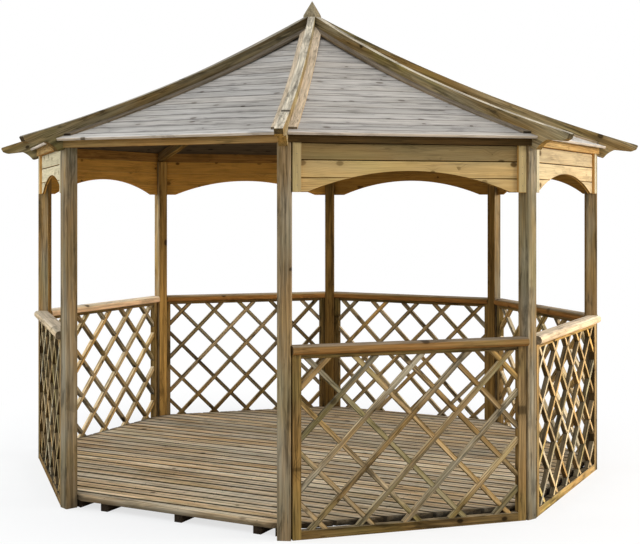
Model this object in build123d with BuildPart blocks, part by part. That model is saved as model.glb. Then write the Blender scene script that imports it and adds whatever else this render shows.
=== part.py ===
"""Octagonal timber garden gazebo: posts, lattice panels, arched headers and a swept hip-rafter roof.

Millimetres, +Z up. The origin is the centre of the octagon on the ground, and the doorway bay faces -Y.
Azimuth turns from -Y towards +X. In a bay, s runs to the right as seen from outside and a is the
distance from the centre line out towards the bay; in a radial plane, r is the distance from the centre.
"""

import math
import os

from build123d import *

# ---- driving dimensions ----
SIDES = 8
STEP = 360.0 / SIDES

POST = 70.0  # square posts
POST_R = 1781.0  # centre of the octagon to a post's centre
POST_H = 2000.0
POST_EASE = 3.0  # eased long edges

PANEL_PROUD = 42.6  # panels' outer face beyond the line through the posts' centres
PANEL_T = 38.0
PANEL_H = 956.0
PANEL_FACE = 45.0  # width of the frame's members
PANEL_SHADOW = 10.3  # gap beside the post, seen from outside
SLAT_W = 28.0
SLAT_T = 14.0
SLAT_CELL = 257.0  # diagonal of a diamond
SLAT_START = 39.0  # lowest crossing above the bottom rail
SLAT_HOUSE = 6.0  # how far the slats are let into the frame

RAIL_W = 98.0  # bullnosed cap over the panels
RAIL_H = 46.0
RAIL_GROOVE = 24.0
RAIL_SLACK = 0.5  # each side of the groove
RAIL_SPARE = 3.0  # its square end, past the post's side at the middle of the panel

HEADER_T = 16.0
HEADER_H = 250.0
HEADER_PROUD = 10.6  # header boards' inner face beyond the same line
HEADER_SHOULDER = 90.0  # short flat at each end of the arch, from the post
ARCH_RISE = 108.0
BOARD_TOP = 87.0  # exposed height of the top header board
BOARD_COVER = 91.0  # and of the boards below it
JOINT_V = 2.5  # half width and depth of a board joint's V
BATTEN_W = 45.0
BATTEN_T = 18.0
BATTEN_GAP = 2.7

RAFTER_T = 45.0
RAFTER_DEPTH = 138.0
SEAT_DROP = 9.0  # birdsmouth: how far the rafter hooks over the post's outer face
UNDER_RISE = 747.0  # rise of the rafter's underside, post to king block
HIP_SAG = 43.0  # sweep of the underside below its chord
KING_CLEAR = 1.5  # between neighbouring rafters at the king block
KING_PROUD = 6.0  # king block above the rafters
TAIL_LOBE = 41.0  # post's outer face to the lower corner of the tail
TAIL_NECK = 116.0  # and to the end of the cove
TAIL_HEEL = 218.0  # and to the start of the nose
TAIL_NOSE = 256.0  # and to the tip
TAIL_SOFFIT = 29.0  # underside of the tail above the post's top, at the cove
TAIL_DROP = 11.0  # how much lower the underside is at the nose
TAIL_BLUNT = 7.0  # rounding of the nose
COVE_DEEP = 7.0

ROOF_T = 14.0
ROOF_BELOW = 65.0  # rafter's top edge above the roof boards
ROOF_OVER = 94.6  # eave beyond the line through the posts' centres
ROOF_POINT = 17.0  # a roof face's cut-off tip, past the corner between two rafters
FILLET_W = 44.0
FILLET_T = 12.0
FILLET_EAVE = 44.0  # fillet's lower end back from the eave
FILLET_GAP = 0.6  # each side of a roof face's centre line

PLATE_W = 45.0
PLATE_PROUD = 9.6  # plates' inner face beyond the line through the posts' centres

KING_TAIL = 3.0  # king block below the rafters' lower edges
FINIAL_H = 101.0
FINIAL_OVER = 1.0  # finial's base past the king block
FINIAL_EDGE = 9.0  # height of its near-upright edge
FINIAL_EDGE_SHARE = 0.97  # its half width there, of that at its base
FINIAL_SHOULDER = 22.0  # height where its long slope starts
FINIAL_SHOULDER_SHARE = 0.84
FINIAL_TIP = 2.0  # half width of its tip

DECK_T = 27.0
DECK_GAP = 10.0  # deck edge to the inner face of the panels
DECK_POST_GAP = 0.0  # the cut corners bear on the posts
JOIST_W = 45.0
JOIST_H = 43.0
JOIST_STEP = 482.0
JOIST_ASIDE = 31.0  # the whole row lies this far to the right of the middle
JOIST_INSET = 10.0  # joist ends back from the deck's edge
TRIM_IN = 40.0  # trimmers in from the ends of the doorway edge

# ---- derived values ----
HALF = math.radians(STEP / 2)
TAN = math.tan(HALF)
COS = math.cos(HALF)
SIN = math.sin(HALF)
POST_OUT = POST_R + POST / 2
POST_IN = POST_R - POST / 2
POST_LINE = POST_R * COS
PANEL_OUT = POST_LINE + PANEL_PROUD
PANEL_IN = PANEL_OUT - PANEL_T
PANEL_MID = PANEL_OUT - PANEL_T / 2
HEADER_BACK = POST_LINE + HEADER_PROUD
PLATE_BACK = POST_LINE + PLATE_PROUD
ROOF_EAVE = POST_LINE + ROOF_OVER
ROOF_TOP = RAFTER_T / 2 / SIN + ROOF_POINT
KING_A = RAFTER_T / 2 / TAN + KING_CLEAR
DECK_A = PANEL_IN - DECK_GAP
BAYS = [STEP * k for k in range(SIDES)]
CORNERS = [STEP * (k + 0.5) for k in range(SIDES)]
REACH = POST_R  # more than half of any bay
LONG = 3 * REACH  # longer than any piece
SPARE = 5.0  # how far a cutting shape runs past what it cuts


def post_side(a):
    """Half width of a bay between the posts' side planes, at distance a."""
    return a * TAN - POST / 2 / COS


def rafter_side(a):
    """Half width of a roof face between the rafters' side planes, at distance a."""
    return a * TAN - RAFTER_T / 2 / COS


def bay_plan(az, z=0.0):
    """Level plane of a bay: local x is s and local y is -a."""
    b = math.radians(az)
    return Plane(origin=(0, 0, z), x_dir=(math.cos(b), math.sin(b), 0), z_dir=(0, 0, 1))


def bay_face(az, a):
    """Upright plane across a bay at distance a: local x is s and local y is height."""
    b = math.radians(az)
    flat = Plane(origin=(0, 0, 0), x_dir=(math.cos(b), math.sin(b), 0), z_dir=(math.sin(b), -math.cos(b), 0))
    return flat.offset(a)


def outward(az):
    """Upright plane through the centre: local x runs outward at azimuth az and local y is height."""
    b = math.radians(az)
    return Plane(origin=(0, 0, 0), x_dir=(math.sin(b), -math.cos(b), 0), z_dir=(-math.cos(b), -math.sin(b), 0))


def outward_plan(az, z=0.0):
    """Level plane whose local x runs outward at azimuth az."""
    b = math.radians(az)
    return Plane(origin=(0, 0, z), x_dir=(math.sin(b), -math.cos(b), 0), z_dir=(0, 0, 1))


def circle_by_sag(p, q, sag):
    """Centre and radius of the circle through p and q that hangs sag below their chord."""
    length = math.dist(p, q)
    radius = (length * length / 4 + sag * sag) / (2 * sag)
    nx = (p[1] - q[1]) / length
    ny = (q[0] - p[0]) / length
    reach = radius - sag
    return (p[0] + q[0]) / 2 + nx * reach, (p[1] + q[1]) / 2 + ny * reach, radius


def circle_by_three(p, q, t):
    """Centre and radius of the circle through three points."""
    d = 2 * (p[0] * (q[1] - t[1]) + q[0] * (t[1] - p[1]) + t[0] * (p[1] - q[1]))
    pp = p[0] ** 2 + p[1] ** 2
    qq = q[0] ** 2 + q[1] ** 2
    tt = t[0] ** 2 + t[1] ** 2
    x = (pp * (q[1] - t[1]) + qq * (t[1] - p[1]) + tt * (p[1] - q[1])) / d
    y = (pp * (t[0] - q[0]) + qq * (p[0] - t[0]) + tt * (q[0] - p[0])) / d
    return x, y, math.dist((x, y), p)


def low(circle, x, out=0.0):
    """Height of the circle's lower side at x, with its radius grown by out."""
    return circle[1] - math.sqrt((circle[2] + out) ** 2 - (x - circle[0]) ** 2)


def low_arc(circle, x0, x1, out=0.0):
    """Three points of that lower side, from x0 to x1."""
    mid = (x0 + x1) / 2
    return (x0, low(circle, x0, out)), (mid, low(circle, mid, out)), (x1, low(circle, x1, out))


# Underside of the hip rafters in the radial plane; their top edge is concentric with it.
HIP = circle_by_sag((KING_A, POST_H - SEAT_DROP + UNDER_RISE), (POST_OUT, POST_H - SEAT_DROP), HIP_SAG)


def face_point(a):
    """Top of the roof boards beside the rafter, at distance a in the bay."""
    r = (a - RAFTER_T / 2 * SIN) / COS
    return a, low(HIP, r, -RAFTER_DEPTH + ROOF_BELOW)


# Top of the roof boards in the plane across a bay.
FACE = circle_by_three(face_point(ROOF_TOP), face_point((ROOF_TOP + ROOF_EAVE) / 2), face_point(ROOF_EAVE))
KING_Z = low(HIP, KING_A, -RAFTER_DEPTH) + KING_PROUD


def ring(flat_az, apothem):
    """Corner points of a level octagon with one flat facing the azimuth flat_az."""
    radius = apothem / COS
    points = []
    for k in range(SIDES):
        b = math.radians(flat_az + STEP * (k + 0.5))
        points.append((radius * math.sin(b), -radius * math.cos(b)))
    return points


def between(low_a, high_a, side):
    """Plan outline of what lies between two side planes, as points in bay_plan."""
    return [(-side(low_a), -low_a), (side(low_a), -low_a), (side(high_a), -high_a), (-side(high_a), -high_a)]


def make_post(az):
    with BuildPart() as post:
        with BuildSketch(outward_plan(az)):
            with Locations((POST_R, 0)):
                Rectangle(POST, POST)
        extrude(amount=POST_H)
        chamfer(post.edges().filter_by(Axis.Z), POST_EASE)
    return post.part


def make_trellis(az):
    edge = post_side(PANEL_OUT) - PANEL_SHADOW
    meet = (edge + POST / 2 / COS) / TAN
    back = post_side(PANEL_IN)
    inner = edge - PANEL_FACE
    opening_h = PANEL_H - 2 * PANEL_FACE
    middle = PANEL_H / 2
    first = PANEL_FACE + SLAT_START
    count = int((inner + PANEL_H) / SLAT_CELL) + 1
    with BuildPart() as panel:
        with BuildSketch(bay_plan(az)):
            with BuildLine():
                Polyline(
                    (-edge, -PANEL_OUT),
                    (edge, -PANEL_OUT),
                    (edge, -meet),
                    (back, -PANEL_IN),
                    (-back, -PANEL_IN),
                    (-edge, -meet),
                    close=True,
                )
            make_face()
        extrude(amount=PANEL_H)
        with BuildSketch(bay_face(az, PANEL_IN - SPARE)):
            with Locations((0, middle)):
                Rectangle(2 * inner, opening_h)
        extrude(amount=PANEL_T + 2 * SPARE, mode=Mode.SUBTRACT)
        for lean, start in ((-1, PANEL_MID - SLAT_T), (1, PANEL_MID)):
            with BuildSketch(bay_face(az, start)):
                for m in range(-count, count + 1):
                    offset = first + SLAT_CELL * m
                    if PANEL_FACE - inner + SLAT_W < offset < inner + PANEL_H - PANEL_FACE - SLAT_W:
                        shift = (offset - middle) / 2
                        with Locations(Location((-lean * shift, middle + shift, 0), (0, 0, lean * 45))):
                            Rectangle(LONG, SLAT_W)
                with Locations((0, middle)):
                    Rectangle(2 * (inner + SLAT_HOUSE), opening_h + 2 * SLAT_HOUSE, mode=Mode.INTERSECT)
            extrude(amount=SLAT_T)
    return panel.part


def make_handrail(az):
    base = PANEL_H - RAIL_GROOVE
    with BuildPart() as rail:
        with BuildSketch(outward(az)):
            with Locations((PANEL_MID, base + RAIL_H / 2)):
                SlotOverall(RAIL_W, RAIL_H)
            with Locations((PANEL_MID, base + RAIL_GROOVE / 2)):
                Rectangle(PANEL_T + 2 * RAIL_SLACK, RAIL_GROOVE, mode=Mode.SUBTRACT)
        extrude(amount=post_side(PANEL_MID) + RAIL_SPARE, both=True)
        with BuildSketch(bay_plan(az, base - SPARE)):
            with BuildLine():
                Polyline(*between(PANEL_MID - RAIL_W, PANEL_MID + RAIL_W, post_side), close=True)
            make_face()
        extrude(amount=RAIL_H + 2 * SPARE, mode=Mode.INTERSECT)
    return rail.part


def make_header(az):
    front = HEADER_BACK + HEADER_T
    bottom = POST_H - HEADER_H
    span = post_side(front) - HEADER_SHOULDER
    arch = (span * span + ARCH_RISE * ARCH_RISE) / (2 * ARCH_RISE)
    batten = post_side(front) - BATTEN_GAP - BATTEN_W / 2
    with BuildPart() as header:
        with BuildSketch(bay_plan(az, bottom)):
            with BuildLine():
                Polyline(*between(HEADER_BACK, front, post_side), close=True)
            make_face()
        extrude(amount=HEADER_H)
        with BuildSketch(outward(az)):
            for k in range(int((HEADER_H - BOARD_TOP - JOINT_V) / BOARD_COVER) + 1):
                joint = POST_H - BOARD_TOP - BOARD_COVER * k
                with Locations((front, joint), (HEADER_BACK, joint)):
                    Rectangle(2 * JOINT_V, 2 * JOINT_V, rotation=45)
        extrude(amount=REACH, both=True, mode=Mode.SUBTRACT)
        with BuildSketch(bay_face(az, front)):
            with Locations((-batten, bottom + HEADER_H / 2), (batten, bottom + HEADER_H / 2)):
                Rectangle(BATTEN_W, HEADER_H)
        extrude(amount=BATTEN_T)
        with BuildSketch(bay_face(az, HEADER_BACK - SPARE)):
            with Locations((0, bottom + ARCH_RISE - arch)):
                Circle(arch)
        extrude(amount=HEADER_T + BATTEN_T + 2 * SPARE, mode=Mode.SUBTRACT)
    return header.part


def make_plate(az):
    front = PLATE_BACK + PLATE_W
    with BuildPart() as plate:
        with BuildSketch(outward(az)):
            with BuildLine():
                ThreePointArc(*low_arc(FACE, PLATE_BACK, front, ROOF_T))
                Polyline(
                    (front, low(FACE, front, ROOF_T)),
                    (front, POST_H),
                    (PLATE_BACK, POST_H),
                    (PLATE_BACK, low(FACE, PLATE_BACK, ROOF_T)),
                )
            make_face()
        extrude(amount=REACH, both=True)
        with BuildSketch(bay_plan(az, POST_H - 5)):
            with BuildLine():
                Polyline(*between(PLATE_BACK - SPARE, front + SPARE, rafter_side), close=True)
            make_face()
        extrude(amount=PLATE_W * 4, mode=Mode.INTERSECT)
    return plate.part


def make_roof_panel(az):
    slope = math.atan2(ROOF_EAVE - FACE[0], FACE[1] - low(FACE, ROOF_EAVE))
    under_eave = FACE[0] + (FACE[2] + ROOF_T) * math.sin(slope)
    with BuildPart() as roof:
        with BuildSketch(outward(az)):
            with BuildLine():
                ThreePointArc(*low_arc(FACE, ROOF_TOP, ROOF_EAVE))
                Line((ROOF_EAVE, low(FACE, ROOF_EAVE)), (under_eave, low(FACE, under_eave, ROOF_T)))
                ThreePointArc(*low_arc(FACE, under_eave, ROOF_TOP, ROOF_T))
                Line((ROOF_TOP, low(FACE, ROOF_TOP, ROOF_T)), (ROOF_TOP, low(FACE, ROOF_TOP)))
            make_face()
        extrude(amount=REACH, both=True)
        with BuildSketch(bay_plan(az, POST_H - HEADER_H)):
            with BuildLine():
                Polyline(*between(ROOF_TOP - SPARE, ROOF_EAVE + ROOF_T + SPARE, rafter_side), close=True)
            make_face()
        extrude(amount=REACH, mode=Mode.INTERSECT)
    return roof.part


def make_fillet(az, hand):
    """Cover strip along one side of a roof face; hand is -1 on its left and 1 on its right."""
    end = ROOF_EAVE - FILLET_EAVE
    across = FILLET_W / COS
    start = ROOF_TOP
    above = start - SPARE
    below = end + SPARE
    turn = (FILLET_GAP + across + RAFTER_T / 2 / COS) / TAN
    with BuildPart() as strip:
        with BuildSketch(outward(az)):
            with BuildLine():
                ThreePointArc(*low_arc(FACE, start, end, -FILLET_T))
                Line((end, low(FACE, end, -FILLET_T)), (end, low(FACE, end)))
                ThreePointArc(*low_arc(FACE, end, start))
                Line((start, low(FACE, start)), (start, low(FACE, start, -FILLET_T)))
            make_face()
        extrude(amount=REACH, both=True)
        with BuildSketch(bay_plan(az, POST_H - HEADER_H)):
            with BuildLine():
                Polyline(
                    (hand * rafter_side(above), -above),
                    (hand * rafter_side(below), -below),
                    (hand * (rafter_side(below) - across), -below),
                    (hand * FILLET_GAP, -turn),
                    (hand * FILLET_GAP, -above),
                    close=True,
                )
            make_face()
        extrude(amount=REACH, mode=Mode.INTERSECT)
    return strip.part


def make_rafter(az):
    nose = POST_OUT + TAIL_NOSE
    lobe = POST_OUT + TAIL_LOBE
    neck = (POST_OUT + TAIL_NECK, POST_H + TAIL_SOFFIT)
    heel = (POST_OUT + TAIL_HEEL, POST_H + TAIL_SOFFIT - TAIL_DROP)
    lobe_z = low(HIP, lobe)
    top_end = nose - TAIL_BLUNT
    top_z = low(HIP, top_end, -RAFTER_DEPTH)
    seat = HIP[0] - math.sqrt(HIP[2] ** 2 - (HIP[1] - POST_H) ** 2)
    dx = neck[0] - lobe
    dz = neck[1] - lobe_z
    chord = math.hypot(dx, dz)
    cove = (lobe + dx / 2 - COVE_DEEP * dz / chord, lobe_z + dz / 2 + COVE_DEEP * dx / chord)
    with BuildPart() as rafter:
        with BuildSketch(outward(az)):
            with BuildLine():
                ThreePointArc(*low_arc(HIP, KING_A, top_end, -RAFTER_DEPTH))
                Polyline(
                    (top_end, top_z),
                    (nose - TAIL_BLUNT * 0.2, top_z - TAIL_BLUNT * 0.6),
                    (nose, top_z - TAIL_BLUNT * 1.4),
                    (nose - TAIL_BLUNT * 1.7, heel[1] + TAIL_BLUNT * 1.4),
                    heel,
                    neck,
                )
                ThreePointArc(neck, cove, (lobe, lobe_z))
                ThreePointArc(*low_arc(HIP, lobe, POST_OUT))
                Polyline((POST_OUT, low(HIP, POST_OUT)), (POST_OUT, POST_H), (seat, POST_H))
                ThreePointArc(*low_arc(HIP, seat, KING_A))
                Line((KING_A, low(HIP, KING_A)), (KING_A, low(HIP, KING_A, -RAFTER_DEPTH)))
            make_face()
        extrude(amount=RAFTER_T / 2, both=True)
    return rafter.part


def make_king():
    with BuildPart() as king:
        with BuildSketch(Plane.XY.offset(low(HIP, KING_A) - KING_TAIL)):
            with BuildLine():
                Polyline(*ring(STEP / 2, KING_A), close=True)
            make_face()
        extrude(amount=KING_Z - low(HIP, KING_A) + KING_TAIL)
    return king.part


def make_finial():
    base = KING_A + FINIAL_OVER
    stages = (
        (0.0, base),
        (FINIAL_EDGE, base * FINIAL_EDGE_SHARE),
        (FINIAL_SHOULDER, base * FINIAL_SHOULDER_SHARE),
        (FINIAL_H, FINIAL_TIP),
    )
    with BuildPart() as finial:
        for (foot, wide), (head, narrow) in zip(stages, stages[1:]):
            with BuildSketch(Plane.XY.offset(KING_Z + foot)):
                with BuildLine():
                    Polyline(*ring(STEP / 2, wide), close=True)
                make_face()
            extrude(amount=head - foot, taper=math.degrees(math.atan((wide - narrow) / (head - foot))))
    return finial.part


def deck_outline(apothem, corner):
    """Octagon of the given apothem with its corners cut square to the posts."""
    with BuildSketch(Plane.XY) as outline:
        with BuildLine():
            Polyline(*ring(0, apothem), close=True)
        make_face()
        with BuildLine():
            Polyline(*ring(STEP / 2, corner), close=True)
        make_face(mode=Mode.INTERSECT)
    return outline.sketch


def make_deck():
    with BuildPart() as deck:
        with BuildSketch(Plane.XY.offset(JOIST_H)):
            add(deck_outline(DECK_A, POST_IN - DECK_POST_GAP))
        extrude(amount=DECK_T)
    return deck.part


def make_joists():
    count = int((DECK_A - JOIST_INSET - JOIST_W - JOIST_ASIDE) / JOIST_STEP)
    trimmer = DECK_A * TAN - TRIM_IN
    spots = [JOIST_STEP * k + JOIST_ASIDE for k in range(-count, count + 1)] + [-trimmer, trimmer]
    with BuildPart() as joists:
        with BuildSketch(Plane.XY):
            with Locations(*[(x, 0) for x in spots]):
                Rectangle(JOIST_W, LONG)
            add(deck_outline(DECK_A - JOIST_INSET, POST_IN - DECK_POST_GAP - JOIST_INSET), mode=Mode.INTERSECT)
        extrude(amount=JOIST_H)
    return joists.part


def save(part, node):
    part.label = node
    export_step(part, "parts/" + node + ".step")


def gather(parts):
    """Several like pieces that don't touch, as one node."""
    return Compound(children=list(parts))


os.makedirs("parts", exist_ok=True)
for number, azimuth in enumerate(CORNERS, 1):
    save(make_post(azimuth), f"post_{number}")
    save(make_rafter(azimuth), f"hip_rafter_{number}")
for number, azimuth in enumerate(BAYS, 1):
    save(make_roof_panel(azimuth), f"roof_panel_{number}")
for number, azimuth in enumerate(BAYS[1:], 1):
    save(make_trellis(azimuth), f"trellis_panel_{number}")
    save(make_header(azimuth), f"header_panel_{number}")
save(gather(make_handrail(azimuth) for azimuth in BAYS[1:]), "handrails")
save(gather(make_plate(azimuth) for azimuth in BAYS), "eave_plates")
save(gather(make_fillet(azimuth, hand) for azimuth in BAYS for hand in (-1, 1)), "hip_fillets")
save(make_king(), "king_block")
save(make_finial(), "finial")
save(make_deck(), "deck_boards")
save(make_joists(), "deck_joists")
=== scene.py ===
"""Garden gazebo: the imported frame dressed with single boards, slats, fixings and weathered softwood.

Metres, +Z up, doorway towards -Y. Each bay is built in its own axes: s along the bay, a outward and z up.
"""

import math
import random

import bpy
from mathutils import Euler, Matrix, Vector


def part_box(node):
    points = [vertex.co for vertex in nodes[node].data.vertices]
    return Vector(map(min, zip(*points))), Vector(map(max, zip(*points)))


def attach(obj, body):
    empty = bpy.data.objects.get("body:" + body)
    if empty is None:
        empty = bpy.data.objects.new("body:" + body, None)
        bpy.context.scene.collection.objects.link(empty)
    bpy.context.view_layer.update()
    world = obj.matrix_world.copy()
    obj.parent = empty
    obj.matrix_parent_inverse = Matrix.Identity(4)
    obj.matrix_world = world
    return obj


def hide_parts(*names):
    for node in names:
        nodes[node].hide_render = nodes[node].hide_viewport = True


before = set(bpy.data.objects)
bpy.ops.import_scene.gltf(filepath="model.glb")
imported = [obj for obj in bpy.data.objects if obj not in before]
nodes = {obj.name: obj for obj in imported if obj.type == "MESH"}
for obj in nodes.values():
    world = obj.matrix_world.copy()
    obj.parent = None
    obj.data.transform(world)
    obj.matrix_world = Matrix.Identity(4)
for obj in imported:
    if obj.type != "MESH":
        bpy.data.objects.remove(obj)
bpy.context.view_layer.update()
draw = random.Random(41)

# ---- sizes read from the frame ----
SIDES = 8
TURN = 2 * math.pi / SIDES
TAN = math.tan(TURN / 2)
COS = math.cos(TURN / 2)
BAYS = [TURN * k for k in range(SIDES)]

panel_low, panel_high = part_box("trellis_panel_4")
header_low, header_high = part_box("header_panel_4")
roof_low, roof_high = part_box("roof_panel_5")
deck_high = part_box("deck_boards")[1]
joist_low, joist_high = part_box("deck_joists")
post_low, post_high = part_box("post_1")

PANEL_IN = panel_low[1]
PANEL_OUT = panel_high[1]
PANEL_H = panel_high[2]
PANEL_EDGE = panel_high[0]
POST_R = math.hypot((post_low[0] + post_high[0]) / 2, (post_low[1] + post_high[1]) / 2)
DECK_EDGE = deck_high[1]
DECK_TOP = deck_high[2]
HEADER_BACK = header_low[1]
HEADER_TOP = header_high[2]
HEADER_FOOT = header_low[2]

# ---- sizes of the finer pieces ----
POST_W = 0.070
RAFTER_T = 0.045
FRAME_W = 0.045
SLAT_W = 0.028  # the source's slats, whose width sets how many a panel has
SLAT_T = 0.014
SLAT_PROUD = 0.001  # slats are halved into each other, the two ways this far out and in
SLAT_DEEP = 2 * SLAT_T - 2 * SLAT_PROUD
SLAT_FACE = 0.026
SLAT_FACE_SIDE = 0.021  # in the side bays
SLAT_CELL = 0.257  # diagonal of a diamond
SLAT_START = 0.039  # lowest crossing above the bottom rail
SLAT_HOUSE = 0.006  # how far slats are let into the frame
MOST_SLATS = 12  # tried each way from the first, which is more than fit
MOST_CELLS = 8  # tried up a panel for staples
HEADER_T = 0.016
BOARD_TOP = 0.087
BOARD_COVER = 0.091
ARCH_RISE = 0.108
ARCH_SHOULDER = 0.090
ARCH_STEPS = 24
ARCH_END_STEPS = 10
BATTEN_W = 0.045
BATTEN_GAP = 0.0027
ROOF_T = 0.014
ROOF_COVER = 0.1025
ROOF_FIRST = 0.062  # first joint above the eave
ROOF_CLEAR = 0.002  # between the boards' ends and the rafters
DECK_PITCH = 0.098
DECK_GAP = 0.014  # between the boards' full arrises
DECK_T = 0.027
DECK_EASE = 0.002
DECK_LEAST = 0.02  # narrowest board at the back
DECK_GROOVES = ((0.25, 0.001, 0.1), (0.5, 0.003, 0.55), (0.75, 0.001, 0.1))  # place, depth, dirt
DECK_END_DIRT_AND_SHADE = 0.045  # how far dirt, with painted shade where the boards meet the panels, reaches in from the boards' ends
JOIST_W = 0.045
JOIST_ROWS = 7
SCREW_IN = 0.03  # least distance from a board's end
SCREW_SHARES = (0.13, 0.87)  # where across a board
SCREW = (0.0040, 0.0010)  # radius and height of the heads
NAIL = (0.0026, 0.0012)
STAPLE = (0.0024, 0.0012)
HEAD_SUNK = 0.4  # share of a head's height that is in the wood
EASE = 0.0012  # eased arrises of sawn pieces
GRAIN_SPREAD = 40  # pieces take their grain from anywhere in a block this many metres wide

# ---- bays, numbered from the doorway to the right ----
FRONT_BAY = 1
RIGHT_BAY = 2
SIDE_BAYS = (2, 7)  # greyer headers, and slats whose edges are painted dark as shade


def post_side(a):
    """Half width between the posts' side planes at distance a."""
    return a * TAN - POST_W / 2 / COS


def rafter_side(a):
    """Half width between the rafters' side planes at distance a."""
    return a * TAN - RAFTER_T / 2 / COS


OUTWARD = Vector((0, 0, 1))  # in a bay's own (s, z, a)
FROM_PLAN = Matrix(((0, 1, 0, 0), (0, 0, 1, 0), (1, 0, 0, 0), (0, 0, 0, 1)))  # (a, s, z) to (s, z, a)


def bay_axes(az):
    """Matrix from a bay's (s, z, a) to the object's axes."""
    c, s = math.cos(az), math.sin(az)
    return Matrix(((c, 0, s, 0), (s, 0, -c, 0), (0, 1, 0, 0), (0, 0, 0, 1)))


# ---------------------------------------------------------------- mesh stock
def new_stock():
    return {"points": [], "faces": [], "grain": [], "tone": [], "joint": [], "worn": [], "run": []}


def add_point(stock, place, grain, tone, joint, worn, run):
    stock["points"].append(place)
    stock["grain"].append(grain)
    stock["tone"].append(tone)
    stock["joint"].append(joint)
    stock["worn"].append(worn)
    stock["run"].append(run)


def inset(outline, by):
    """The outline drawn in by a small distance."""
    moved = []
    count = len(outline)
    for i, (x, y) in enumerate(outline):
        px, py = outline[i - 1]
        qx, qy = outline[(i + 1) % count]
        back = math.hypot(x - px, y - py)
        ahead = math.hypot(qx - x, qy - y)
        n1 = ((py - y) / back, (x - px) / back)
        n2 = ((y - qy) / ahead, (qx - x) / ahead)
        share = by / max(0.35, 1 + n1[0] * n2[0] + n1[1] * n2[1])
        moved.append((x + (n1[0] + n2[0]) * share, y + (n1[1] + n2[1]) * share))
    return moved


def grain_place():
    """Where in the wood a new piece takes its grain."""
    return Vector([draw.uniform(0, GRAIN_SPREAD) for _ in range(3)])


def prism(stock, axes, front, near, far, *, tone, order=(0, 1, 2), back=None, worn=1.0, groove=None):
    """A sawn piece: back outline at height near, front outline at height far, arrises eased.

    order names the local axis that the grain runs along, then the two across it.
    groove gives the width and depth of a narrow rebate cut round the front face."""
    back = back or front
    start = len(stock["points"])
    count = len(front)
    rings = [(inset(back, EASE), near, 0.0), (back, near + EASE, 0.0)]
    if groove:
        wide, deep = groove
        rings.append((front, far - deep, 1.0))
        rings.append((inset(front, wide), far - deep, 1.0))
        rings.append((inset(front, wide), far - EASE, 0.35))
        rings.append((inset(front, wide + EASE), far, 0.0))
    else:
        rings.append((front, far - EASE, 0.0))
        rings.append((inset(front, EASE), far, 0.0))
    shift = grain_place()
    run = axes.to_3x3().col[order[0]].copy()
    for ring, height, joint in rings:
        for x, y in ring:
            local = (x, y, height)
            grain = Vector([local[k] for k in order]) + shift
            add_point(stock, axes @ Vector(local), grain, tone, joint, worn, run)
    for level in range(len(rings) - 1):
        low = start + level * count
        for i in range(count):
            j = (i + 1) % count
            stock["faces"].append((low + i, low + j, low + count + j, low + count + i))
    last = start + (len(rings) - 1) * count
    stock["faces"].append(tuple(start + i for i in reversed(range(count))))
    stock["faces"].append(tuple(last + i for i in range(count)))


def milled_board(stock, section, half_length, place, run, sheltered=0, youngest=0.8, ends_dirt_and_shade=0.0):
    """A board of constant section, given as (across, down, dirt), its ends cut where half_length says.

    The first sheltered points of the section lie on an edge that the weather hardly greys.
    youngest is the least worn that the board may be.
    soiled is the length at each end over which the board darkens: dirt, and painted shade where it meets
    the panels."""
    shift = grain_place()
    tone = draw.uniform(-1, 1)
    worn = draw.uniform(youngest, 1.2)
    start = len(stock["points"])
    count = len(section)
    rings = [(-1, 0, 0), (1, 0, 0)]
    # darker towards both ends: dirt, and painted shade
    if ends_dirt_and_shade:
        rings = [(-1, 0, 0.85), (-1, ends_dirt_and_shade, 0), (1, ends_dirt_and_shade, 0), (1, 0, 0.85)]
    for side, back, least in rings:
        for k, (across, down, dirt) in enumerate(section):
            half = half_length(across, down)
            x = side * max(half - back, half * 0.5)
            age = 0.7 if k < sheltered else worn
            soil_and_shade = max(dirt, least)
            grain = Vector((x, across, down)) + shift
            add_point(stock, place(x, across, down), grain, tone, soil_and_shade, age, run)
    for ring in range(len(rings) - 1):
        low = start + ring * count
        for i in range(count):
            j = (i + 1) % count
            stock["faces"].append((low + i, low + count + i, low + count + j, low + j))
    last = start + (len(rings) - 1) * count
    stock["faces"].append(tuple(start + i for i in range(count)))
    stock["faces"].append(tuple(last + i for i in reversed(range(count))))


def shown(name, data):
    """A new object in the scene, of a mesh, a lamp or a camera."""
    made = bpy.data.objects.new(name, data)
    bpy.context.scene.collection.objects.link(made)
    return made


VECTORS = ("grain", "run", "turn", "shift", "facing")  # the rest of what points carry are numbers


def carry(mesh, label, values):
    """Gives every point of a mesh its own value."""
    if label in VECTORS:
        made = mesh.attributes.new(label, "FLOAT_VECTOR", "POINT")
        made.data.foreach_set("vector", [c for v in values for c in v])
    else:
        made = mesh.attributes.new(label, "FLOAT", "POINT")
        made.data.foreach_set("value", values)


def finish_piece(obj, slot, material, *replaced):
    """Gives an added piece its material and body, and hides the nodes that it stands in for."""
    obj.data.materials.clear()
    obj.data.materials.append(material)
    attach(obj, "root")
    if replaced:
        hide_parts(*replaced)


def stock_piece(name, stock, slot, material, *replaced):
    """A piece of all the boards in a stock, in place of the frame's own."""
    mesh = bpy.data.meshes.new(name)
    mesh.from_pydata([tuple(p) for p in stock["points"]], [], stock["faces"])
    for label in ("grain", "run", "tone", "joint", "worn"):
        carry(mesh, label, stock[label])
    mesh.update()
    finish_piece(shown(name, mesh), slot, material, *replaced)


# ---------------------------------------------------------------- node helpers
def link_in(tree, socket, value):
    if value is None:
        return
    if isinstance(value, bpy.types.NodeSocket):
        tree.links.new(value, socket)
    else:
        socket.default_value = value


def emptied(owner):
    """The node tree of a material or a world, with nothing in it yet."""
    owner.use_nodes = True
    owner.node_tree.nodes.clear()
    return owner.node_tree


def put(tree, kind, values=(), **settings):
    """Adds a node. values fill its inputs by place, or by name when given as a dictionary."""
    made = tree.nodes.new(kind)
    for key, value in settings.items():
        setattr(made, key, value)
    pairs = values.items() if isinstance(values, dict) else enumerate(values)
    for key, value in pairs:
        link_in(tree, made.inputs[key], value)
    return made


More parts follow.
